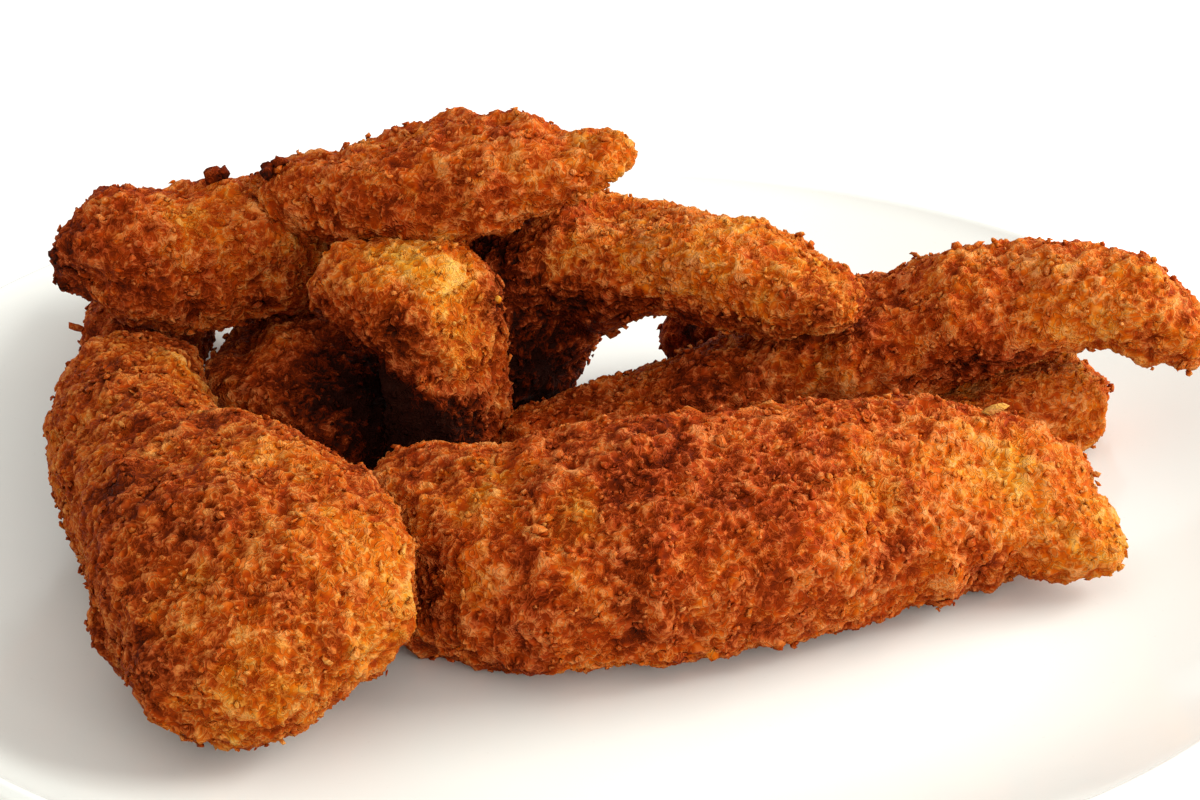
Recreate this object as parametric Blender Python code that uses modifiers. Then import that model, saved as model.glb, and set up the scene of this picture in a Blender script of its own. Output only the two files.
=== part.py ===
"""A loose pile of eleven crumbed, fried chicken tenders on a white dinner plate.

Frame: metres, +Z up, origin on the table under the plate's centre. -Y is the side the pile is seen from.
The tables below are in millimetres.
"""

import math

import bmesh
import bpy
from mathutils import Vector, noise
from mathutils.bvhtree import BVHTree

MM = 0.001

# ---- plate: a 250 mm coupe plate ----
PLATE_R = 125.0  # outer radius of the lip
PLATE_H = 21.5  # height of the lip above the table
FLAT_R = 80.0  # radius of the flat middle
TOP_Z = 7.0  # height of the flat middle's upper face
UNDER_Z = 2.6  # height of the flat middle's lower face
FOOT_OUT, FOOT_IN = 75.0, 70.0  # the foot ring's resting face
RISE_STEPS = 6
PLATE_STEPS = 56

# ---- tenders ----
AROUND, ALONG = 20, 18  # facets round a tender and rings along it
GAP = 1.1  # clearance between touching pieces

# Each tender: stations along its centre line, as (x, y, z, half width, half thickness, roll in degrees).
# The half width lies level across the line, and roll turns the section about the line.
# blunt is how full the ends are: 0.5 is nearly square, 1 is an ellipse. lump is the height of the uneven swellings.
# A piece that rests on others comes after them, and is dented where it meets them.
TENDERS = {
    "tender_front_left": dict(
        tone=(0.78, 0.40, 0.12),
        blunt=0.45,
        lump=1.2,
        seed=23,
        stations=[
            (-73, 22, 24.5, 14, 10.5, 0),
            (-73.5, 6, 25.5, 14.5, 12.5, 0),
            (-70, -12, 24, 15, 13, 0),
            (-54.5, -38, 24.5, 21.5, 16, 0),
            (-45.5, -59, 25, 25.5, 17.5, 0),
            (-49.5, -82.5, 20, 15.5, 13, 0),
        ],
    ),
    "tender_front": dict(
        tone=(0.74, 0.36, 0.11),
        blunt=0.45,
        lump=1.2,
        seed=11,
        stations=[
            (-29, -25.5, 22, 19, 14.5, 18),
            (-14, -36, 22, 21.5, 14.5, 20),
            (4, -39, 23, 22, 14, 20),
            (29, -32, 23, 19.5, 14, 20),
            (51, -23, 21, 17.5, 12.5, 20),
            (69, -19.5, 18.5, 16.5, 10.5, 18),
            (79, -23.5, 15.5, 12.5, 8.5, 10),
            (86, -28, 13.5, 7.5, 6, 0),
        ],
    ),
    "tender_low_right": dict(
        tone=(0.60, 0.25, 0.08),
        blunt=0.5,
        lump=1.0,
        seed=101,
        stations=[
            (57, 8, 13, 8, 5.5, 0),
            (69, 17, 13.5, 9, 6, 0),
            (80, 23, 16, 11, 9, 0),
            (93.5, 21, 16, 10.5, 9, 0),
        ],
    ),
    "tender_right": dict(
        tone=(0.72, 0.33, 0.10),
        blunt=0.5,
        lump=1.1,
        seed=97,
        stations=[
            (-13, 9.5, 16, 9, 8, 0),
            (6, 12, 17.5, 11, 9, 0),
            (21, 18, 18.5, 11.5, 9, 0),
            (38, 24, 22, 12, 10, 5),
            (55, 26, 28, 13, 10, 8),
            (72, 24, 33, 13, 10, 10),
            (88, 21, 36.7, 13, 10, 8),
            (99, 18, 34, 12.5, 10, 0),
            (107, 17, 27.5, 9, 7.5, 0),
        ],
    ),
    "tender_under_arch": dict(
        tone=(0.50, 0.22, 0.08),
        blunt=0.55,
        lump=1.0,
        seed=113,
        stations=[
            (16, 48, 17.5, 9, 9, 0),
            (32, 49, 18, 11, 10, 0),
            (52, 50, 18, 11, 10, 0),
            (70, 52, 17.5, 9, 8, 0),
        ],
    ),
    "tender_back_left": dict(
        tone=(0.60, 0.24, 0.08),
        blunt=0.6,
        lump=1.0,
        seed=37,
        stations=[
            (-79.5, 30, 19, 10, 11, 0),
            (-77.5, 45, 20.5, 11, 12, 0),
            (-73, 60, 21, 11, 11.5, 0),
            (-64, 76, 21.5, 9, 9, 0),
        ],
    ),
    "tender_low_left": dict(
        tone=(0.58, 0.25, 0.08),
        blunt=0.6,
        lump=1.0,
        seed=41,
        stations=[
            (-39.5, 3, 15.5, 13, 8.5, 0),
            (-45.5, 25, 18.3, 18, 10.5, 0),
            (-46, 48, 18, 16, 10.5, 0),
            (-50, 70, 18, 12, 10, 0),
        ],
    ),
    "tender_top_left": dict(
        tone=(0.70, 0.31, 0.09),
        blunt=0.5,
        lump=1.2,
        seed=53,
        stations=[
            (-90, 24, 40.5, 10, 9, 0),
            (-79, 27, 41.5, 12, 11, 0),
            (-65, 33, 40, 13, 12, 0),
            (-50, 40, 39.5, 13, 12, 0),
            (-31, 50, 43, 11, 10, 0),
        ],
    ),
    "tender_middle": dict(
        tone=(0.80, 0.42, 0.12),
        blunt=0.5,
        lump=1.0,
        seed=71,
        stations=[
            (-42, 16, 41, 11, 8, 0),
            (-32, 11, 42.5, 12, 9, 0),
            (-23, 8, 39, 13, 9, 0),
            (-21, 6, 28, 13.5, 8, 0),
            (-21, 5, 8, 13.5, 7, 0),
        ],
    ),
    "tender_arch": dict(
        tone=(0.76, 0.38, 0.11),
        blunt=0.5,
        lump=1.1,
        seed=83,
        stations=[
            (-7, 39, 7, 16.5, 9, 0),
            (-8, 38, 24, 17.5, 10, 0),
            (-9, 36, 39, 15.5, 10.5, 0),
            (8, 31, 41, 12, 10, 0),
            (27, 22, 41, 12.5, 9.5, 0),
            (42, 14, 39.5, 11.5, 8, 0),
            (48, 11, 38.5, 9, 6.5, 0),
        ],
    ),
    "tender_top": dict(
        tone=(0.70, 0.32, 0.10),
        blunt=0.55,
        lump=1.1,
        seed=67,
        stations=[
            (-57, 35, 51.5, 9, 7, 0),
            (-38, 30, 53.5, 12, 8.5, 0),
            (-21, 27, 57.3, 13.5, 9.5, 0),
            (-5, 25, 60, 11, 8, 0),
            (10, 25, 60.5, 8.5, 5.5, 0),
        ],
    ),
}


def clear_scene():
    for obj in list(bpy.data.objects):
        bpy.data.objects.remove(obj, do_unlink=True)


def material(name, colour, roughness):
    made = bpy.data.materials.new(name)
    made.use_nodes = True
    shader = made.node_tree.nodes["Principled BSDF"]
    shader.inputs["Base Color"].default_value = (*colour, 1.0)
    shader.inputs["Roughness"].default_value = roughness
    shader.inputs["Metallic"].default_value = 0.0
    return made


def plate_profile():
    """(radius, height) points from the middle of the upper face, over the lip and back under the foot ring."""
    rise = PLATE_H - TOP_Z - 0.9
    upper = [(0.0, TOP_Z), (FLAT_R * 0.55, TOP_Z), (FLAT_R, TOP_Z)]
    for i in range(1, RISE_STEPS + 1):
        t = i / RISE_STEPS
        upper.append((FLAT_R + (PLATE_R - 2.2 - FLAT_R) * t, TOP_Z + rise * t**1.9))
    lip = [(PLATE_R - 0.9, PLATE_H), (PLATE_R, PLATE_H - 0.9)]
    under = []
    for i in range(RISE_STEPS - 1, 0, -1):
        t = i / RISE_STEPS
        under.append((FLAT_R + 2.0 + (PLATE_R - 1.0 - FLAT_R) * t, UNDER_Z + rise * t**1.9))
    foot = [
        (FOOT_OUT + 1.4, UNDER_Z),
        (FOOT_OUT, 0.0),
        (FOOT_IN, 0.0),
        (FOOT_IN - 1.4, UNDER_Z),
        (0.0, UNDER_Z),
    ]
    return upper + lip + under + foot


def make_plate(collection):
    profile = plate_profile()
    mesh = bpy.data.meshes.new("plate")
    points = [(r * MM, 0.0, z * MM) for r, z in profile]
    mesh.from_pydata(points, [(i, i + 1) for i in range(len(points) - 1)], [])
    plate = bpy.data.objects.new("plate", mesh)
    collection.objects.link(plate)
    screw = plate.modifiers.new("turn", "SCREW")
    screw.axis = "Z"
    screw.steps = screw.render_steps = PLATE_STEPS
    screw.use_merge_vertices = True
    screw.merge_threshold = 0.00005
    screw.use_smooth_shade = True
    plate.data.materials.append(material("glazed_white", (0.90, 0.89, 0.87), 0.15))
    return plate


def catmull(values, u):
    """Smooth curve through values, at u from 0 to len(values) - 1."""
    last = len(values) - 1
    i = min(int(u), last - 1)
    t = u - i
    p = [values[max(0, min(last, j))] for j in (i - 1, i, i + 1, i + 2)]
    if i == 0:
        p[0] = 2 * p[1] - p[2]
    if i + 2 > last:
        p[3] = 2 * p[2] - p[1]
    return 0.5 * (
        2 * p[1]
        + (p[2] - p[0]) * t
        + (2 * p[0] - 5 * p[1] + 4 * p[2] - p[3]) * t * t
        + (3 * p[1] - p[0] - 3 * p[2] + p[3]) * t**3
    )


class Tender:
    """The shape of one tender: a lumpy section swept along its centre line."""

    def __init__(self, stations, blunt, lump, seed):
        self.centres = [Vector(s[:3]) for s in stations]
        self.halves = [Vector((s[3], s[4], s[5])) for s in stations]
        self.blunt, self.lump = blunt, lump
        self.shift = Vector((seed * 3.7, seed * 1.9, seed * 0.7))
        fine = 40
        span = len(self.centres) - 1
        self.us = [span * i / (fine * span) for i in range(fine * span + 1)]
        line = [catmull(self.centres, u) for u in self.us]
        self.run = [0.0]
        for a, b in zip(line, line[1:]):
            self.run.append(self.run[-1] + (b - a).length)

    def place(self, s):
        """The curve parameter at share s of the length."""
        want = s * self.run[-1]
        for i in range(1, len(self.run)):
            if self.run[i] >= want:
                low, high = self.run[i - 1], self.run[i]
                t = (want - low) / (high - low) if high > low else 0.0
                return self.us[i - 1] + (self.us[i] - self.us[i - 1]) * t
        return self.us[-1]

    def frame(self, u):
        """(centre, along, across, up) of the section at u."""
        d = 0.02
        last = len(self.centres) - 1
        a, b = catmull(self.centres, max(0, u - d)), catmull(self.centres, min(last, u + d))
        along = (b - a).normalized()
        # the section stays level across the mean direction, so that it doesn't flip where the line is steep
        mean = self.centres[-1] - self.centres[0]
        level = Vector((mean.x, mean.y, 0)).normalized()
        across = Vector((0, 0, 1)).cross(level)
        across = (across - along * across.dot(along)).normalized()
        return catmull(self.centres, u), along, across, along.cross(across)

    def point(self, direction):
        """Where the unit sphere's point in this direction lands on the tender's surface."""
        s = min(1.0, max(0.0, (1 - direction.z) / 2))
        u = self.place(s)
        centre, along, across, up = self.frame(u)
        half = catmull(self.halves, u)
        fullness = max(0.0, 4 * s * (1 - s)) ** (self.blunt / 2)
        roll = math.radians(half.z)
        angle = math.atan2(direction.y, direction.x)
        c, n = math.cos(angle), math.sin(angle)
        squareness = (abs(c) ** 2.5 + abs(n) ** 2.5) ** (-1 / 2.5)
        x, y = half.x * c * squareness * fullness, half.y * n * squareness * fullness
        x, y = x * math.cos(roll) - y * math.sin(roll), x * math.sin(roll) + y * math.cos(roll)
        at = centre + across * x + up * y
        out = (across * x + up * y) if fullness > 0.05 else (along if s > 0.5 else -along)
        out = out.normalized()
        q = at + self.shift
        bump = noise.noise(q / 13.0) * self.lump * 1.5 + noise.noise(q / 6.0) * self.lump * 0.6
        return at + out * bump


def plate_top(radius):
    """Height of the plate's upper face at this radius."""
    t = min(1.0, max(0.0, (radius - FLAT_R) / (PLATE_R - 2.2 - FLAT_R)))
    return TOP_Z + (PLATE_H - TOP_Z - 0.9) * t**1.9


def pressed(point, trees):
    """The point, moved out of the plate and of the pieces made before to GAP away from them."""
    for _ in range(3):
        for tree in trees:
            spot, normal, _, _ = tree.find_nearest(point)
            depth = (point - spot).dot(normal)
            if depth < GAP and (point - spot).length < 25:
                if depth < 0 or (point - spot).length < GAP:
                    point = spot + normal * GAP
        floor = plate_top(math.hypot(point.x, point.y)) + GAP
        if point.z < floor:
            point = Vector((point.x, point.y, floor))
    return point


def make_tender(name, spec, collection, trees):
    shape = Tender(spec["stations"], spec["blunt"], spec["lump"], spec["seed"])
    bm = bmesh.new()
    bmesh.ops.create_uvsphere(bm, u_segments=AROUND, v_segments=ALONG, radius=1.0)
    for vert in bm.verts:
        vert.co = pressed(shape.point(vert.co.normalized()), trees)
    bmesh.ops.triangulate(bm, faces=bm.faces[:])
    bmesh.ops.recalc_face_normals(bm, faces=bm.faces[:])
    trees.append(BVHTree.FromBMesh(bm))
    bmesh.ops.scale(bm, vec=(MM, MM, MM), verts=bm.verts[:])
    mesh = bpy.data.meshes.new(name)
    bm.to_mesh(mesh)
    bm.free()
    mesh.shade_smooth()
    obj = bpy.data.objects.new(name, mesh)
    collection.objects.link(obj)
    obj.data.materials.append(material("crust_" + name, spec["tone"], 0.6))
    return obj


def main():
    clear_scene()
    collection = bpy.data.collections.new("chicken_tenders")
    bpy.context.scene.collection.children.link(collection)
    make_plate(collection)
    trees = []
    for name, spec in TENDERS.items():
        make_tender(name, spec, collection, trees)


main()
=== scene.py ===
"""Chicken tenders on a white plate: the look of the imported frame, with its crumb crust, glazed plate, floor, light and camera."""

import math

import bmesh
import bpy
import numpy as np
from mathutils import Euler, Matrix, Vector


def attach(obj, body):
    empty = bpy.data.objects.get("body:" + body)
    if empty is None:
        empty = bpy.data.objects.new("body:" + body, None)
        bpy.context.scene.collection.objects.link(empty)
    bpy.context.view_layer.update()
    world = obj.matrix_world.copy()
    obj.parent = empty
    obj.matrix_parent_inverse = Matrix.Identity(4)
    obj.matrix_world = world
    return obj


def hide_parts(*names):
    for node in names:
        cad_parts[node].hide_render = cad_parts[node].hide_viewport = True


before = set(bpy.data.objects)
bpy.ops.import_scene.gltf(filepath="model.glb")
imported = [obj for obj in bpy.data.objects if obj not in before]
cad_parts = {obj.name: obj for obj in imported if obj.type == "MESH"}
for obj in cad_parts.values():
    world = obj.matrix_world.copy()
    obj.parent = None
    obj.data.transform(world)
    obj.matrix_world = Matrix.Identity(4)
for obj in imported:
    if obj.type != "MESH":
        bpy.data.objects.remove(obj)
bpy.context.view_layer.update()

MM = 0.001

# ---- plate, as in the CAD (mm) ----
PLATE_R, PLATE_H, FLAT_R, TOP_Z, UNDER_Z = 125.0, 21.5, 80.0, 7.0, 2.6
FOOT_OUT, FOOT_IN = 75.0, 70.0

# ---- crust (mm) ----
GRID = 0.51  # size of the base mesh's squares
FINER = {"tender_front": 0.475, "tender_front_left": 0.475}
COARSER = {"tender_under_arch": 0.64, "tender_back_left": 0.60, "tender_low_left": 0.58, "tender_low_right": 0.55}
CRUMBS_PER_MM2 = 0.12
LUMPY = {"tender_front": 0.86, "tender_front_left": 0.82, "tender_arch": 0.78, "tender_top_left": 1.1}  # 1 where not named

# How each tender is browned, with painted light and shade: tone is its mean, from 0 for dark red-brown to 1 for golden;
# for pieces that lie in shade under others it is partly painted shade.
# A spot is (x, y, z, reach x, reach y, reach z, change of tone). Some spots are the crust's own browning. Many darken
# creases, undersides and parts under other pieces as painted shade, and some lighten parts that face the lamps as
# painted light.
# YELLOW is (x, y, z, reach, amount): where the crust is yellower.
# A fold is (x, y, z, reach x, reach y, reach z, height): a swelling, or a dent where the height is negative.
# A shard is (x, y, z, length, width, direction x, y, z, tone): a single flake that sticks out. A chunk is
# (x, y, z, size, tone): a single lump of burnt crumb. Both are put at the nearest point of the surface.
BROWNING_AND_PAINTED_LIGHT = {
    "tender_front": dict(
        tone=0.375,
        # the darker spots in the dents are painted shade in the creases, and the lighter spots at the right end, which
        # faces the lamps, are partly painted light
        spots=[
            (-14, -46, 28, 4, 20, 9, 0.17),
            (-21, -44, 20, 4, 20, 12, -0.06),
            (-6, -50, 22, 4, 20, 14, -0.06),
            (2, -52, 24, 4, 20, 9, 0.10),
            (2, -46, 34, 3, 8, 3, 0.18),
            (9, -58, 20, 3, 20, 9, -0.20),
            (14, -42, 38, 14, 14, 7, -0.16),
            (44, -38, 31, 7, 14, 6, 0.16),
            (51, -32, 33, 3, 10, 4, -0.12),
            (68, -27, 27, 16, 16, 12, 0.24),
            (62, -22, 36, 14, 10, 6, 0.10),
            (85, -28, 15, 11, 12, 9, 0.28),
            (57, -38, 18, 3, 8, 8, 0.12),
            (63, -35, 15, 4, 8, 6, -0.22),
        ],
        folds=[
            (9, -58, 22, 3, 9, 14, -2.0),
            (-10, -34, 38, 4, 10, 8, -1.8),
            (48, -40, 28, 4, 10, 16, -1.0),
            (25, -50, 34, 12, 8, 8, 0.9),
            (-3, -55, 24, 6, 8, 10, 1.0),
            (30, -36, 40, 5, 9, 6, 0.9),
            (-22, -44, 12, 8, 8, 6, 2.0),
            (60, -18, 36, 11, 11, 9, 2.4),
            (75, -17, 29, 9, 11, 8, 2.6),
            (-30, -20, 32, 9, 9, 8, 3.2),
            (-15, -47, 10, 20, 12, 8, 1.1),
            (20, -56, 10, 8, 9, 6, 0.8),
            (83, -18, 22, 5, 10, 6, 0.9),
            (76, -34, 9, 8, 10, 5, 0.9),
            (57, -38, 16, 2.6, 8, 9, 1.3),
            (63, -35, 12, 3, 8, 6, -1.4),
            (-12, -26, 38, 3.5, 8, 6, -1.0),
        ],
        shards=[(66, -15, 37, 5.6, 1.5, 0.85, -0.1, 0.5, 0.92)],
        chunks=[(21, -57, 9, 1.6, 0.62), (18, -58, 9, 1.8, 0.30), (33, -52, 9, 1.6, 0.5)],
    ),
    "tender_front_left": dict(
        tone=0.332,
        spots=[
            (-26, -66, 28, 9, 20, 16, 0.20),
            (-42, -86, 20, 20, 14, 10, 0.22),
            (-65, -49, 38, 6, 8, 6, -0.14),
            (-45, -76, 34, 6, 8, 6, 0.10),
            (-35, -80, 27, 3, 6, 3, -0.22),
            (-66, -4, 36, 12, 14, 10, 0.06),
            (-38, -58, 38, 14, 14, 8, 0.08),
            (-44, -44, 41, 11, 8, 6, 0.20),
            (-55, -81, 27, 7, 8, 8, -0.24),
            (-41, -77, 34, 6, 6, 5, -0.06),
            (-62, -62, 28, 8, 14, 14, -0.05),
        ],
        folds=[
            (-53, -12, 38, 6, 7, 9, -2.2),
            (-60, 2, 33, 6, 9, 9, 1.4),
            (-82, 4, 36, 8, 10, 7, -1.9),
            (-71, 9, 38, 8, 8, 6, -0.8),
            (-64, -30, 38, 8, 6, 8, 0.8),
            (-38, -66, 38, 8, 8, 8, 0.7),
            (-52, -78, 28, 7, 8, 8, -0.6),
            (-63, -80, 20, 7, 9, 9, 2.0),
            (-71, -62, 24, 5, 8, 8, -1.0),
            (-33, -78, 16, 8, 10, 10, -1.9),
            (-40, -82, 12, 9, 8, 6, 1.6),
            (-23, -60, 28, 7, 14, 10, 2.2),
            (-74, -46, 22, 7, 10, 12, -1.7),
            (-86, -13, 28, 4, 6, 4, -0.7),
            (-66, -62, 16, 8, 10, 8, 1.2),
            (-56, -82, 14, 6, 8, 5, -0.8),
            (-29, -60, 14, 5, 8, 6, -1.2),
            (-88, -6, 24, 6, 14, 12, 0.1),
        ],
        shards=[],
        chunks=[],
    ),
    "tender_back_left": dict(
        tone=0.22,
        spots=[(-74, 28, 30, 8, 12, 8, 0.06)],
        folds=[(-88, 34, 25, 6, 9, 9, 1.8), (-80, 31, 31, 8, 9, 5, 1.2), (-62, 64, 13, 7, 16, 11, -4.5), (-65, 40, 18, 4, 8, 8, -1.5)],
        shards=[(-88, 36, 24, 3.6, 1.5, -0.9, 0.1, 0.4, 0.1)],
        chunks=[],
    ),
    "tender_low_left": dict(
        # its mean tone and the spot at its right end are darkened as painted shade, for the shade under the pieces
        # above it
        tone=0.26,
        spots=[(-32, 12, 20, 14, 18, 18, -0.46), (-54, 14, 22, 8, 12, 10, 0.10)],
        folds=[(-29, 6, 15, 6, 8, 9, 2.0), (-64, 19, 20, 6, 12, 8, 3.2), (-60, 29, 28, 5, 9, 5, -4.5)],
        shards=[],
        chunks=[],
    ),
    "tender_top_left": dict(
        tone=0.365,
        # its left end and lower side are darkened as painted shade
        spots=[(-91, 18, 43, 9, 14, 14, -0.30), (-60, 24, 36, 14, 14, 8, 0.06), (-78, 26, 30, 16, 14, 5, -0.16), (-66, 21, 37, 14, 12, 3.5, -0.07), (-65, 23, 51, 5, 8, 3.5, 0.16)],
        folds=[
            (-72, 24, 50, 6, 8, 8, 0.4),
            (-32, 46, 47, 7, 9, 7, 2.0),
            (-80, 26, 54, 7, 10, 6, 2.9),
            (-93, 24, 51, 5, 9, 5, -1.2),
            (-92, 25, 50, 5, 9, 5, 0.4),
            (-86, 18, 38, 7, 9, 6, -4.6),
            (-88, 24, 53, 4, 9, 4, -1.5),
            (-77, 28, 55, 4, 9, 4, 0.8),
            (-55, 29, 51, 12, 10, 8, 2.2),
            (-72, 33, 53, 7, 10, 6, -1.5),
        ],
        shards=[],
        chunks=[
            (-63.2, 35, 57, 2.3, 0.10),
            (-61.6, 35, 58, 1.8, 0.06),
            (-60.4, 35, 57, 1.4, 0.14),
            (-95, 22, 42, 1.6, 0.12),
            (-92, 20, 36, 1.6, 0.10),
        ],
    ),
    "tender_top": dict(
        tone=0.44,
        spots=[(7, 22, 61, 7, 10, 8, 0.18), (-50, 30, 52, 8, 10, 8, -0.08), (-20, 20, 54, 14, 10, 4, -0.08)],
        folds=[
            (-34, 30, 63, 18, 10, 6, -1.8),
            (14, 24, 61, 5, 8, 8, -2.8),
            (9, 22, 55, 6, 8, 5, -1.8),
            (-60, 32, 54, 7, 12, 9, -3.5),
            (-52, 34, 60, 5, 8, 6, -1.2),
            (-1, 28, 66, 5, 10, 4, -2.4),
            (7, 22, 62, 5, 9, 6, 1.0),
            (-25, 21, 49, 11, 8, 4, 2.0),
            (-14, 22, 52, 8, 8, 5, 1.2),
        ],
        shards=[],
        chunks=[(-54.4, 31, 58, 2.5, 0.10), (-52.6, 31, 58.5, 2.1, 0.14), (-53.2, 30, 57, 2.0, 0.08), (-16, 24, 66, 1.4, 0.4)],
    ),
    "tender_middle": dict(
        tone=0.40,
        # the negative spots darken the lower left of this piece, which lies in shade: painted shade
        spots=[
            (-24, 6, 50, 18, 10, 6, 0.26),
            (-15, 0, 38, 6, 10, 9, 0.10),
            (-38, 2, 37, 7, 10, 6, -0.20),
            (-27, 0, 41, 6, 10, 5, -0.26),
            (-20, -4, 25, 8, 12, 8, -0.26),
            (-12, 9, 42, 4, 10, 8, -0.34),
            (-19, -1, 41, 3.5, 8, 8, 0.09),
            (-32, -1, 31, 8, 12, 7, -0.42),
            (-28, -3, 22, 8, 14, 9, -0.60),
            (-24, -4, 13, 8, 12, 7, -0.40),
        ],
        folds=[(-34, 2, 16, 6, 8, 9, 1.6), (-30, -2, 34, 8, 6, 6, 0.4), (-16, 6, 48, 6, 8, 6, 1.8), (-18, 13, 48, 6, 8, 6, 3.0), (-40, 12, 49, 6, 8, 5, 0.8)],
        shards=[],
        chunks=[(-12, 7, 42.5, 1.3, 0.74)],
    ),
    "tender_arch": dict(
        tone=0.52,
        # the leg under the arch and the underside of the arm are darkened: painted shade
        spots=[(20, 20, 46, 20, 16, 12, 0.08), (-10, 34, 20, 16, 24, 24, -0.70), (40, 10, 43, 9, 10, 8, -0.18), (-18, 30, 42, 12, 12, 10, -0.34), (8, 20, 36, 13, 10, 5, -0.28), (28, 12, 36, 14, 10, 4, -0.30)],
        folds=[(10, 30, 51, 10, 10, 6, -3.3), (-22, 32, 45, 6, 9, 7, 2.2), (42, 16, 48, 8, 9, 6, -1.6), (27, 22, 51, 7, 9, 5, 0.9), (4, 34, 27, 6, 10, 9, 5.4), (14, 19, 34, 6, 8, 4, -1.6), (6, 31, 33, 5, 9, 5, 1.2)],
        shards=[],
        chunks=[],
    ),
    "tender_right": dict(
        tone=0.45,
        # the thin bands along its underside are darkened: painted shade
        spots=[(34, 20, 34, 20, 12, 7, -0.22), (14, 12, 24, 26, 14, 12, -0.16), (100, 12, 36, 14, 12, 12, 0.04), (80, 18, 44, 18, 10, 8, 0.12), (96, 12, 33, 4, 8, 3, -0.16), (60, 12, 26, 12, 10, 3.5, -0.30), (76, 12, 29, 8, 10, 2.5, -0.30), (44, 12, 27, 9, 10, 4, 0.20)],
        folds=[
            (64, 26, 45, 7, 10, 7, 3.6), (50, 30, 42, 7, 10, 6, -2.4), (67, 12, 25, 13, 8, 4, -1.8), (56, 28, 43, 5, 10, 6, -1.5), (70, 26, 48, 5, 9, 4, -0.8), (84, 13, 30, 6, 8, 3, -0.9), (98, 10, 31, 5, 8, 3, 0.7),
            (77, 24, 47, 8, 9, 6, -1.3),
            (88, 20, 47, 7, 9, 6, 0.2),
            (95, 18, 43, 6, 8, 5, 0.9),
            (9, 14, 26, 9, 8, 5, -3.2),
            (-10, 3, 17, 7, 7, 7, 1.6),
            (101, 16, 41, 4, 8, 4, -0.8),
        ],
        shards=[],
        chunks=[],
    ),
    "tender_low_right": dict(
        # the band along its top, under the long right tender, is darkened as painted shade, and its mean tone is set
        # lighter as painted light where it lies in shade
        tone=0.58, spots=[(66, 12, 18, 10, 12, 8, -0.12), (66, 16, 26, 10, 10, 2.5, -0.3), (79, 15, 21, 7, 8, 4, -0.17), (70, 18, 20, 5, 8, 3, 0.06)], folds=[(64, 10, 19, 10, 9, 6, 3.6), (74, 14, 24, 10, 8, 4, 1.6), (100, 20, 20, 6, 10, 10, -3.2), (94, 19, 25, 9, 10, 5, -2.0)], shards=[], chunks=[]
    ),
    # nearly black: painted shade for a piece that lies in shade under the arch
    "tender_under_arch": dict(tone=0.12, spots=[], folds=[(9, 46, 20, 6, 9, 9, 0.4)], shards=[], chunks=[]),
}


YELLOW = [
    (-42, -84, 20, 18, 0.6),
    (-24, -64, 26, 10, 0.5),
    (-66, 0, 34, 13, 0.3),
    (-70, -14, 34, 26, 0.45),
    (-48, -52, 34, 36, 0.42),
    (-24, 6, 50, 14, 0.5),
    (-16, 0, 38, 10, 0.8),
    (0, -49, 33, 5, 0.8),
    (-14, -40, 32, 6, 0.6),
    (46, -36, 31, 6, 0.6),
    (68, -24, 32, 10, 0.4),
    (84, -28, 16, 10, 0.3),
    (36, 14, 43, 14, 0.4),
    (43, 10, 44, 8, 0.4),
    (0, 24, 44, 10, 0.5),
    (96, 14, 38, 12, 0.4),
    (62, 20, 46, 7, 0.4),
    (6, 22, 60, 8, 0.3),
    (-65, 24, 51, 5, 0.9),
    (-52, 24, 44, 9, 0.3),
]


# ---------------------------------------------------------------- noise on arrays of points
def hashed(cell, seed):
    """One number from 0 to 1 for each whole-numbered cell."""
    c = cell.astype(np.int64)
    h = c[..., 0] * 73856093 ^ c[..., 1] * 19349663 ^ c[..., 2] * 83492791 ^ (seed * 2654435761)
    h = (h ^ (h >> 13)) * 1274126177 & 0x7FFFFFFF
    h = (h ^ (h >> 15)) * 668265263 & 0x7FFFFFFF
    return ((h ^ (h >> 11)) & 0xFFFFFF) / float(0x1000000)


def soft_noise(points, size, seed):
    """Smooth noise from -1 to 1 that varies over this size."""
    q = points / size + 1000.0
    base = np.floor(q)
    t = q - base
    t = t * t * t * (t * (t * 6 - 15) + 10)
    total = 0.0
    for dx in (0, 1):
        for dy in (0, 1):
            for dz in (0, 1):
                weight = (
                    (t[:, 0] if dx else 1 - t[:, 0])
                    * (t[:, 1] if dy else 1 - t[:, 1])
                    * (t[:, 2] if dz else 1 - t[:, 2])
                )
                total = total + weight * hashed(base + np.array((dx, dy, dz)), seed)
    return total * 2 - 1


def plate_top(radius):
    """Height of the plate's upper face at these radii, in mm."""
    t = np.clip((radius - FLAT_R) / (PLATE_R - 2.2 - FLAT_R), 0.0, 1.0)
    return TOP_Z + (PLATE_H - TOP_Z - 0.9) * t**1.9


# ---------------------------------------------------------------- crust
def smooth_base(node, size):
    """(points in mm, faces) of the CAD node's shape, remeshed and smoothed."""
    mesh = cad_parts[node].data.copy()
    bm = bmesh.new()
    bm.from_mesh(mesh)
    bmesh.ops.remove_doubles(bm, verts=bm.verts[:], dist=0.00001)
    bmesh.ops.scale(bm, vec=(1 / MM,) * 3, verts=bm.verts[:])
    bm.to_mesh(mesh)
    bm.free()
    work = bpy.data.objects.new("work", mesh)
    bpy.context.scene.collection.objects.link(work)
    remesh = work.modifiers.new("remesh", "REMESH")
    remesh.mode = "VOXEL"
    remesh.voxel_size = size
    relax = work.modifiers.new("relax", "SMOOTH")
    relax.factor, relax.iterations = 0.5, int(9 / size)
    graph = bpy.context.evaluated_depsgraph_get()
    done = bpy.data.meshes.new_from_object(work.evaluated_get(graph), depsgraph=graph)
    points = np.empty(len(done.vertices) * 3)
    done.vertices.foreach_get("co", points)
    points = points.reshape(-1, 3)
    faces = np.empty(len(done.loops), np.int64)
    done.loops.foreach_get("vertex_index", faces)
    faces = faces.reshape(-1, 4)
    bpy.data.objects.remove(work, do_unlink=True)
    bpy.data.meshes.remove(done)
    return points, faces


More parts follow.
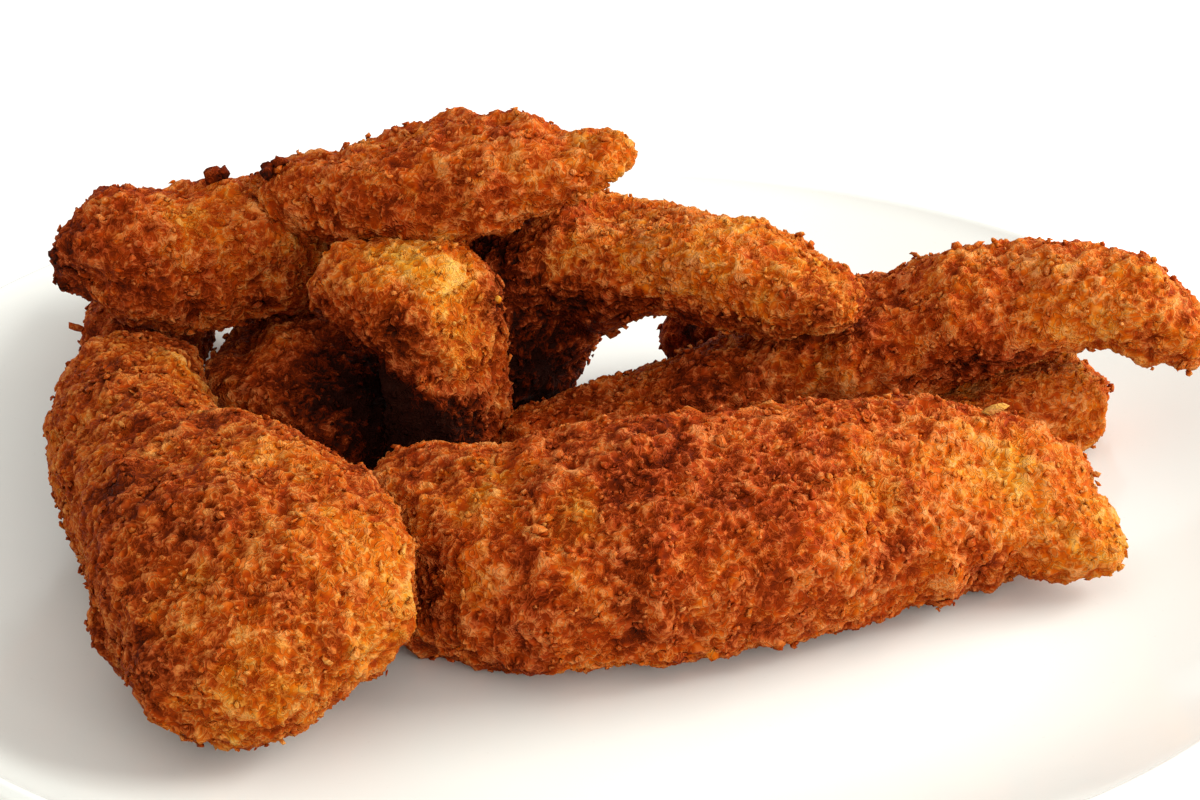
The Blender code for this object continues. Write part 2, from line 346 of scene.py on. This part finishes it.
def curls(points, warp, size, seed):
    """Short curled ridges about half this size across, from 0 to 1, that come and go."""
    n = soft_noise(points + warp * size * 0.45, size, seed)
    ridge = np.clip(1 - np.abs(n) * 2.0, 0, 1)
    there = np.clip(0.62 + 0.9 * soft_noise(points, size * 1.7, seed + 1), 0, 1)
    return np.sqrt(ridge) * there


def normals_of(points, faces):
    a, b, c, d = (points[faces[:, k]] for k in range(4))
    n = np.cross(c - a, d - b)
    total = np.zeros_like(points)
    for k in range(4):
        np.add.at(total, faces[:, k], n)
    return total / np.maximum(np.linalg.norm(total, axis=1, keepdims=True), 1e-9), n


def sliver(rng, bend):
    """A closed sliver of bread about 3 long and 1 across, curled in its plane by this angle: (points, triangles)."""
    reach = 1.5
    stations = ((-1.0, 0.0), (-0.55, 0.42), (0.05, 0.5), (0.6, 0.38), (1.0, 0.0))
    points, triangles = [], []
    for u, half in stations:
        a = u * bend / 2
        middle = np.array((reach * math.sin(a) / (bend / 2), reach * (1 - math.cos(a)) / (bend / 2), 0.0))
        across = np.array((-math.sin(a), math.cos(a), 0.0))
        if half == 0:
            points.append(middle)
            continue
        wide, high = half * rng.uniform(0.7, 1.4), half * rng.uniform(0.6, 1.3)
        middle = middle + across * rng.normal(0, 0.12) + np.array((0, 0, rng.normal(0, 0.12)))
        for k in range(4):
            b = math.radians(90 * k + rng.uniform(20, 70))
            points.append(middle + across * wide * math.cos(b) * 1.2 + np.array((0, 0, high * math.sin(b) * 1.2)))
    for k in range(4):
        n = (k + 1) % 4
        triangles.append((0, 1 + n, 1 + k))
        for row in (0, 1):
            a, b, c, d = 1 + 4 * row + k, 1 + 4 * row + n, 5 + 4 * row + n, 5 + 4 * row + k
            triangles += [(a, b, c), (a, c, d)]
        triangles.append((9 + k, 9 + n, 13))
    return np.array(points, float), np.array(triangles)


def grain(rng, rough, steps=1):
    """A closed irregular grain about 1 across: (points, triangles)."""
    bm = bmesh.new()
    bmesh.ops.create_icosphere(bm, subdivisions=steps, radius=0.62)
    points = np.array([v.co for v in bm.verts])
    triangles = np.array([[v.index for v in f.verts] for f in bm.faces])
    bm.free()
    points = points * np.exp(rng.normal(0, rough, (len(points), 1))) + rng.normal(0, 0.08 / steps, points.shape)
    return points, triangles


def crumb_shapes(rng):
    """Closed crumbs lying along x with z up: (points, triangles) pairs. Some are grains, and the rest curled slivers."""
    shapes = []
    for i in range(96):
        if i % 3:
            co, faces = sliver(rng, rng.uniform(1.2, 4.2))
            co = co - co.mean(axis=0)
            co = co * np.array((0.75, 0.75, 0.75))
        else:
            co, faces = grain(rng, 0.26)
            co *= np.array((rng.uniform(1.0, 2.0), 1.0, rng.uniform(0.6, 1.0)))
        shapes.append((co, faces))
    return shapes


def turned(axis, angle):
    """Rotation matrices about unit axes."""
    x, y, z = axis.T
    c, s = np.cos(angle), np.sin(angle)
    t = 1 - c
    return np.stack(
        [
            np.stack([t * x * x + c, t * x * y - s * z, t * x * z + s * y], -1),
            np.stack([t * x * y + s * z, t * y * y + c, t * y * z - s * x], -1),
            np.stack([t * x * z - s * y, t * y * z + s * x, t * z * z + c], -1),
        ],
        -2,
    )


def mesh_from(name, points, quads, triangles, attributes):
    """A smooth mesh object in metres from points in mm, with one number a point for each attribute."""
    sizes = np.concatenate([np.full(len(quads), 4), np.full(len(triangles), 3)])
    loops = np.concatenate([quads.reshape(-1), triangles.reshape(-1)])
    mesh = bpy.data.meshes.new(name)
    mesh.vertices.add(len(points))
    mesh.vertices.foreach_set("co", (points * MM).astype(np.float32).reshape(-1))
    mesh.loops.add(len(loops))
    mesh.loops.foreach_set("vertex_index", loops.astype(np.int32))
    mesh.polygons.add(len(sizes))
    starts = np.concatenate([[0], np.cumsum(sizes)[:-1]])
    mesh.polygons.foreach_set("loop_start", starts.astype(np.int32))
    mesh.update(calc_edges=True)
    mesh.validate()
    mesh.shade_smooth()
    for key, values in attributes.items():
        layer = mesh.attributes.new(key, "FLOAT", "POINT")
        layer.data.foreach_set("value", values.astype(np.float32))
    obj = bpy.data.objects.new(name, mesh)
    bpy.context.scene.collection.objects.link(obj)
    return obj


def make_crust(node, seed):
    browning_and_painted_light = BROWNING_AND_PAINTED_LIGHT[node]
    rng = np.random.default_rng(seed)
    base, quads = smooth_base(node, {**FINER, **COARSER}.get(node, GRID))
    normal, _ = normals_of(base, quads)
    shift = np.array((seed * 37.0, seed * 11.0, seed * 5.0))
    q = base + shift

    # swellings of the coated meat, then curled ridges and grains of the crumb
    lumpy = LUMPY.get(node, 1.0)
    swell = 0.8 * soft_noise(q, 9.0, seed) + lumpy * (0.9 * soft_noise(q, 4.2, seed + 1) + 0.42 * soft_noise(q, 2.5, seed + 21))
    for x, y, z, rx, ry, rz, high in browning_and_painted_light["folds"]:
        swell += high * np.exp(-(((base - np.array((x, y, z))) / np.array((rx, ry, rz))) ** 2).sum(axis=1))
    warp = np.stack([soft_noise(q, 2.3, seed + k) for k in (11, 12, 13)], axis=1)
    curl = np.maximum(0.95 * curls(q, warp, 1.9, seed + 2), 0.85 * curls(q, warp[:, ::-1], 1.4, seed + 4))
    curl = 0.8 * np.maximum(curl, 0.7 * curls(q, -warp, 1.05, seed + 6))
    thin = np.clip(1 - 2.2 * np.abs(soft_noise(q + 0.4 * warp, 1.3, seed + 7)), 0, 1)
    fine = curl + 0.34 * thin + 0.10 * soft_noise(q, 0.8, seed + 8)
    points = base + normal * (swell + 1.25 * fine - 0.85)[:, None]
    normal, face_normals = normals_of(points, quads)
    # the height of the curls and grains, which the material turns into painted shade in the hollows and a painted
    # highlight on the tops
    cavity = np.clip(1.1 * fine, 0, 1)
    tone = np.clip(0.5 + 0.6 * soft_noise(q + 3.0, 1.5, seed + 9), 0, 1)

    # crumbs fried onto the surface
    centre = points[quads].mean(axis=1)
    area = np.linalg.norm(face_normals, axis=1) / 2
    count = int(area.sum() * CRUMBS_PER_MM2)
    face = rng.choice(len(quads), size=count, p=area / area.sum())
    where = centre[face] + rng.normal(0, 0.25, (count, 3))
    out = face_normals[face] / np.maximum(np.linalg.norm(face_normals[face], axis=1, keepdims=True), 1e-9)
    out = 0.5 * out + normal[quads[face, 0]]
    out /= np.linalg.norm(out, axis=1, keepdims=True)
    under = (out[:, 2] < -0.6) & (where[:, 2] < plate_top(np.hypot(where[:, 0], where[:, 1])) + 2.0)
    where, out = where[~under], out[~under]
    count = len(where)
    size = np.clip(np.exp(rng.normal(math.log(0.72), 0.28, count)), 0.4, 1.4)
    side = np.cross(out, rng.normal(size=(count, 3)))
    side /= np.maximum(np.linalg.norm(side, axis=1, keepdims=True), 1e-9)
    lying = np.stack([side, np.cross(out, side), out], axis=-1)
    # most lie along the surface, and a few stand up
    tilt = rng.normal(0, 1, count) * np.where(rng.uniform(size=count) < 0.1, 0.75, 0.22)
    lying = turned(np.cross(out, side), tilt) @ lying
    lift = rng.uniform(-0.25, 0.25, count) + 0.3 * np.abs(tilt)
    own = rng.uniform(0, 1, count)
    shapes = crumb_shapes(rng)
    which = rng.integers(0, len(shapes), count)
    all_points, all_triangles, all_tone, all_high, own_gold = [], [], [], [], []
    offset = len(points)
    for k, (co, tri) in enumerate(shapes):
        mine = np.nonzero(which == k)[0]
        if not len(mine):
            continue
        c = np.einsum("nij,vj->nvi", lying[mine], co)
        up = np.einsum("nvi,ni->nv", c, out[mine]) + lift[mine][:, None]
        c = c * size[mine][:, None, None] + (where[mine] + out[mine] * (size[mine] * lift[mine])[:, None])[:, None, :]
        n, v = c.shape[:2]
        all_points.append(c.reshape(-1, 3))
        all_triangles.append((tri[None] + (np.arange(n) * v)[:, None, None] + offset).reshape(-1, 3))
        all_tone.append(np.repeat(own[mine], v))
        all_high.append(np.clip(0.45 + 0.7 * up, 0, 1).reshape(-1))
        offset += n * v
    for x, y, z, length, width, *rest in browning_and_painted_light["shards"]:
        co, tri = sliver(rng, 1.0)
        nearest = points[np.argmin(np.linalg.norm(points - np.array((x, y, z)), axis=1))]
        along = np.array(rest[:3]) / np.linalg.norm(rest[:3])
        side = np.cross(along, (0.3, -1.0, 0.2))
        side /= np.linalg.norm(side)
        co = co * np.array((length / 3, width, width * 0.55))
        axes = np.stack([along, side, np.cross(along, side)], axis=-1)
        all_points.append(co @ axes.T + nearest + along * length * 0.22)
        all_triangles.append(tri + offset)
        all_tone.append(np.full(len(co), 0.5))
        all_high.append(np.full(len(co), 0.85))
        offset += len(co)
        own_gold.append((offset - len(co), offset, rest[3]))
    for x, y, z, across, gold_here in browning_and_painted_light["chunks"]:
        co, tri = grain(rng, 0.12, 2)
        co = (co + 0.16 * np.stack([soft_noise(co + 9.0 * k, 0.4, seed + k) for k in (1, 2, 3)], axis=1)) * rng.uniform(0.8, 1.2, 3)
        nearest = points[np.argmin(np.linalg.norm(points - np.array((x, y, z)), axis=1))]
        all_points.append(co * across + nearest + np.array((0, 0, 0.35 * across)))
        all_triangles.append(tri + offset)
        all_tone.append(np.full(len(co), 0.5))
        all_high.append(np.clip(0.45 + 0.5 * co[:, 2], 0, 1))
        offset += len(co)
        own_gold.append((offset - len(co), offset, gold_here))
    points = np.concatenate([points] + all_points)
    tone = np.concatenate([tone] + all_tone)
    high = np.concatenate([cavity] + all_high)

    floor = plate_top(np.hypot(points[:, 0], points[:, 1])) + 0.03
    points[:, 2] = np.maximum(points[:, 2], floor)

    gold_and_painted_light = np.full(len(points), browning_and_painted_light["tone"])
    for x, y, z, rx, ry, rz, change in browning_and_painted_light["spots"]:
        gold_and_painted_light += change * np.exp(-(((points - np.array((x, y, z))) / np.array((rx, ry, rz))) ** 2).sum(axis=1))
    for first, last, value in own_gold:
        gold_and_painted_light[first:last] = value
    yellow = np.zeros(len(points))
    for x, y, z, reach, amount in YELLOW:
        yellow += amount * np.exp(-(((points - np.array((x, y, z))) / reach) ** 2).sum(axis=1))
    triangles = np.concatenate(all_triangles)
    made = mesh_from(node + "_crust", points, quads, triangles, {"tone": tone, "high": high, "gold_and_painted_light": gold_and_painted_light, "yellow": yellow})
    made.data.materials.append(crust_material(node, seed))
    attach(made, "root")
    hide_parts(node)
    print(node, "triangles", 2 * len(quads) + len(triangles), "crumbs", count)
    return made


# ---------------------------------------------------------------- materials
class Nodes:
    """Short calls for building a node tree."""

    def __init__(self, name):
        self.material = bpy.data.materials.new(name)
        self.material.use_nodes = True
        self.tree = self.material.node_tree
        self.shader = self.tree.nodes["Principled BSDF"]

    def add(self, kind, **settings):
        node = self.tree.nodes.new(kind)
        for key, value in settings.items():
            setattr(node, key, value)
        return node

    def link(self, a, b):
        self.tree.links.new(a, b)

    def feed(self, socket, value):
        if isinstance(value, bpy.types.NodeSocket):
            self.link(value, socket)
        else:
            socket.default_value = value

    def math(self, operation, a, b=0.0, c=0.0, clamp=False):
        node = self.add("ShaderNodeMath", operation=operation, use_clamp=clamp)
        for socket, value in zip(node.inputs, (a, b, c)):
            self.feed(socket, value)
        return node.outputs[0]

    def noise(self, scale, detail=2.0, rough=0.5, where=None, distortion=0.0):
        node = self.add("ShaderNodeTexNoise")
        node.inputs["Scale"].default_value = scale
        node.inputs["Detail"].default_value = detail
        node.inputs["Roughness"].default_value = rough
        node.inputs["Distortion"].default_value = distortion
        if where is not None:
            self.link(where, node.inputs["Vector"])
        return node.outputs["Fac"]

    def ramp(self, value, stops):
        node = self.add("ShaderNodeValToRGB")
        elements = node.color_ramp.elements
        while len(elements) < len(stops):
            elements.new(0.5)
        for element, (position, colour) in zip(elements, stops):
            element.position = position
            element.color = (*colour, 1.0)
        self.link(value, node.inputs["Fac"])
        return node.outputs["Color"]

    def spread(self, value, low, high, to_low, to_high):
        node = self.add("ShaderNodeMapRange")
        for socket, number in zip(node.inputs, (value, low, high, to_low, to_high)):
            self.feed(socket, number)
        return node.outputs["Result"]

    def mix(self, factor, a, b, blend="MIX"):
        node = self.add("ShaderNodeMix", data_type="RGBA", blend_type=blend)
        self.feed(node.inputs[0], factor)
        self.feed(node.inputs[6], a if isinstance(a, bpy.types.NodeSocket) else (*a, 1.0))
        self.feed(node.inputs[7], b if isinstance(b, bpy.types.NodeSocket) else (*b, 1.0))
        return node.outputs[2]

    def attribute(self, name):
        node = self.add("ShaderNodeAttribute", attribute_name=name)
        return node.outputs["Fac"]


def crust_material(node, seed):
    m = Nodes("crust_" + node)
    place = m.add("ShaderNodeTexCoord").outputs["Object"]
    mapped = m.add("ShaderNodeMapping")
    mapped.inputs["Location"].default_value = (seed * 0.31, seed * 0.17, seed * 0.07)
    m.link(place, mapped.inputs["Vector"])
    where = mapped.outputs["Vector"]

    broad = m.noise(70.0, 2.0, 0.55, where, 0.5)
    patchy = m.noise(210.0, 3.0, 0.6, where, 0.7)
    fine = m.noise(1500.0, 2.0, 0.6, where)
    # thin curled threads, about 0.6 mm across
    thread = m.noise(620.0, 1.0, 0.4, where, 1.6)
    thread = m.math("SUBTRACT", 1.0, m.math("MULTIPLY", m.math("ABSOLUTE", m.math("SUBTRACT", thread, 0.5)), 9.0), clamp=True)
    high = m.attribute("high")
    # how golden this point is, from 0 to 1, carrying the painted light and shade of the spots
    t = m.attribute("gold_and_painted_light")
    t = m.math("MULTIPLY_ADD", m.math("SUBTRACT", broad, 0.5), 0.55, t)
    t = m.math("MULTIPLY_ADD", m.math("SUBTRACT", patchy, 0.5), 0.44, t)
    t = m.math("MULTIPLY_ADD", m.math("SUBTRACT", m.attribute("tone"), 0.5), 0.16, t)
    # darker in the hollows of the crust as painted shade, and lighter on the raised tops, partly the crumbs' own paler
    # tips and partly a painted highlight
    t = m.math("ADD", m.spread(high, 0.0, 0.45, -0.085, 0.0), t)
    t = m.math("ADD", m.spread(high, 0.45, 1.0, 0.0, 0.24), t)
    # lighter along the thin threads: partly paler crumb, partly a painted highlight
    t = m.math("MULTIPLY_ADD", m.math("SUBTRACT", thread, 0.3), 0.16, t)
    t = m.math("MULTIPLY_ADD", m.math("SUBTRACT", fine, 0.5), 0.18, t, clamp=True)
    colour = m.ramp(
        t,
        [
            (0.00, (0.018, 0.004, 0.002)),
            (0.20, (0.120, 0.012, 0.001)),
            (0.40, (0.300, 0.031, 0.001)),
            (0.60, (0.480, 0.084, 0.002)),
            (0.80, (0.600, 0.178, 0.010)),
            (1.00, (0.730, 0.350, 0.065)),
        ],
    )
    # the tops of the crumbs and the thin threads go to a paler, pinker peach: partly the crumbs' own paler tips, partly
    # a painted highlight in place of a sheen
    top = m.math("MULTIPLY", thread, m.spread(high, 0.1, 0.8, 0.1, 0.50))
    top = m.math("ADD", m.spread(high, 0.65, 1.0, 0.0, 0.28), top)
    top = m.math("MULTIPLY", top, m.spread(t, 0.22, 0.80, 0.0, 1.0))
    colour = m.mix(top, colour, (0.62, 0.245, 0.095))
    # yellower patches, and redder crumbs
    warm = m.math("MULTIPLY_ADD", m.math("SUBTRACT", patchy, 0.5), 1.2, m.attribute("yellow"), clamp=True)
    colour = m.mix(m.math("MULTIPLY", warm, 0.9), colour, m.mix(1.0, colour, (0.93, 1.22, 0.85), "MULTIPLY"))
    red = m.spread(m.noise(160.0, 2.0, 0.5, where, 1.0), 0.52, 0.70, 0.0, 0.45)
    colour = m.mix(red, colour, m.mix(1.0, colour, (0.92, 0.66, 0.62), "MULTIPLY"))
    m.link(colour, m.shader.inputs["Base Color"])
    m.link(m.spread(patchy, 0.3, 0.7, 0.45, 0.62), m.shader.inputs["Roughness"])
    m.shader.inputs["Specular IOR Level"].default_value = 0.02
    bump = m.add("ShaderNodeBump")
    bump.inputs["Strength"].default_value = 0.7
    bump.inputs["Distance"].default_value = 0.0004
    m.link(m.math("MULTIPLY_ADD", fine, 0.5, thread), bump.inputs["Height"])
    m.link(bump.outputs["Normal"], m.shader.inputs["Normal"])
    return m.material


def glaze_material():
    m = Nodes("glazed_white_porcelain")
    coord = m.add("ShaderNodeTexCoord").outputs["Object"]
    split = m.add("ShaderNodeSeparateXYZ")
    m.link(coord, split.inputs[0])
    cloud = m.noise(18.0, 3.0, 0.5, coord)
    speck = m.noise(1400.0, 1.0, 0.4, coord)
    body = m.mix(m.spread(cloud, 0.3, 0.7, 0.0, 1.0), (0.775, 0.79, 0.74), (0.805, 0.82, 0.77))
    body = m.mix(m.spread(speck, 0.74, 0.80, 0.0, 0.12), body, (0.55, 0.50, 0.44))
    # the foot ring's resting face is bare, slightly grey biscuit
    bare = m.math("LESS_THAN", split.outputs["Z"], 0.0004)
    biscuit = m.mix(speck, (0.55, 0.52, 0.47), (0.70, 0.66, 0.60))
    m.link(m.mix(bare, body, biscuit), m.shader.inputs["Base Color"])
    ripple = m.noise(55.0, 2.0, 0.5, coord)
    m.link(m.math("ADD", m.spread(ripple, 0.3, 0.7, 0.10, 0.20), m.math("MULTIPLY", bare, 0.6)), m.shader.inputs["Roughness"])
    m.shader.inputs["Specular IOR Level"].default_value = 0.5
    bump = m.add("ShaderNodeBump")
    bump.inputs["Strength"].default_value = 0.25
    bump.inputs["Distance"].default_value = 0.0004
    m.link(ripple, bump.inputs["Height"])
    m.link(bump.outputs["Normal"], m.shader.inputs["Normal"])
    return m.material


# ---------------------------------------------------------------- plate
def make_plate():
    rise = PLATE_H - TOP_Z - 0.9
    profile = [(r, TOP_Z) for r in (8, 20, 35, 50, 65, 74, FLAT_R)]
    steps = 26
    profile += [(FLAT_R + (PLATE_R - 2.2 - FLAT_R) * i / steps, TOP_Z + rise * (i / steps) ** 1.9) for i in range(1, steps + 1)]
    profile[-1] = (PLATE_R - 2.3, PLATE_H - 0.75)
    for i in range(7):  # the rounded lip
        a = math.radians(112 - 150 * i / 6)
        profile.append((PLATE_R - 1.15 + 1.15 * math.cos(a), PLATE_H - 1.15 + 1.15 * math.sin(a)))
    for i in range(steps - 1, 0, -1):
        t = i / steps
        profile.append((FLAT_R + 2.0 + (PLATE_R - 1.0 - FLAT_R) * t, UNDER_Z + rise * t**1.9))
    profile += [
        (FLAT_R + 0.5, UNDER_Z),
        (FOOT_OUT + 2.2, UNDER_Z - 0.05),
        (FOOT_OUT + 1.3, UNDER_Z - 0.5),
        (FOOT_OUT + 0.5, 0.6),
        (FOOT_OUT, 0.15),
        (FOOT_OUT - 0.5, 0.0),
        (FOOT_IN + 0.5, 0.0),
        (FOOT_IN, 0.15),
        (FOOT_IN - 0.5, 0.6),
        (FOOT_IN - 1.3, UNDER_Z - 0.5),
        (FOOT_IN - 2.2, UNDER_Z - 0.05),
        (FOOT_IN - 6, UNDER_Z),
        (40, UNDER_Z),
        (10, UNDER_Z),
    ]
    around = 180
    angle = np.arange(around) * 2 * math.pi / around
    rows = np.array(profile)
    ring = np.stack(
        [
            rows[:, None, 0] * np.cos(angle),
            rows[:, None, 0] * np.sin(angle),
            np.repeat(rows[:, 1:2], around, axis=1),
        ],
        axis=-1,
    )
    points = np.concatenate([ring.reshape(-1, 3), [[0, 0, TOP_Z], [0, 0, UNDER_Z]]])
    i, j = np.meshgrid(np.arange(len(rows) - 1), np.arange(around), indexing="ij")
    k = (j + 1) % around
    quads = np.stack([i * around + j, (i + 1) * around + j, (i + 1) * around + k, i * around + k], axis=-1).reshape(-1, 4)
    j = np.arange(around)
    k = (j + 1) % around
    last = (len(rows) - 1) * around
    top = np.stack([np.full(around, len(points) - 2), j, k], axis=-1)
    bottom = np.stack([np.full(around, len(points) - 1), last + k, last + j], axis=-1)
    plate = mesh_from("plate_glazed", points, quads, np.concatenate([top, bottom]), {})
    plate.data.materials.append(glaze_material())
    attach(plate, "root")
    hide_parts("plate")


# ---------------------------------------------------------------- stage
def make_stage():
    mesh = bpy.data.meshes.new("floor")
    mesh.from_pydata([(-6, -6, 0), (6, -6, 0), (6, 6, 0), (-6, 6, 0)], [], [(0, 1, 2, 3)])
    floor = bpy.data.objects.new("floor", mesh)
    bpy.context.scene.collection.objects.link(floor)
    m = Nodes("pale_floor")
    m.shader.inputs["Base Color"].default_value = (0.86, 0.85, 0.83, 1)
    m.shader.inputs["Roughness"].default_value = 0.7
    mesh.materials.append(m.material)

    world = bpy.data.worlds.new("room")
    world.use_nodes = True
    world.node_tree.nodes["Background"].inputs["Color"].default_value = (1.0, 0.985, 0.96, 1)
    world.node_tree.nodes["Background"].inputs["Strength"].default_value = 0.99
    bpy.context.scene.world = world

    def area(name, where, aim, size, power, colour):
        light = bpy.data.lights.new(name, "AREA")
        light.shape = "RECTANGLE"
        light.size, light.size_y = size
        light.energy = power
        light.color = colour
        obj = bpy.data.objects.new(name, light)
        obj.location = where
        obj.rotation_euler = (Vector(aim) - Vector(where)).to_track_quat("-Z", "Y").to_euler()
        bpy.context.scene.collection.objects.link(obj)

    area("window", (0.60, 0.10, 0.33), (0.0, -0.02, 0.02), (0.40, 0.34), 5.2, (1.0, 0.98, 0.95))
    area("rear", (0.37, 0.20, 0.25), (0.13, -0.03, 0.0), (0.26, 0.26), 0.50, (0.86, 0.95, 1.0))
    area("front", (0.62, -1.05, 0.45), (0.0, -0.05, 0.0), (0.9, 0.6), 7.6, (1.0, 0.99, 0.97))


def make_camera():
    camera = bpy.data.cameras.new("camera")
    camera.sensor_width = 36.0
    camera.lens = 75.6
    camera.clip_start, camera.clip_end = 0.02, 50
    obj = bpy.data.objects.new("camera", camera)
    obj.location = (0.0042, -0.3721, 0.2094)
    obj.rotation_euler = Euler((math.radians(90 - 26), 0, 0))
    bpy.context.scene.collection.objects.link(obj)
    bpy.context.scene.camera = obj


make_camera()
make_stage()
make_plate()
for index, name in enumerate(sorted(BROWNING_AND_PAINTED_LIGHT)):
    make_crust(name, 3 + 7 * index)
bpy.context.scene.view_settings.view_transform = "Standard"
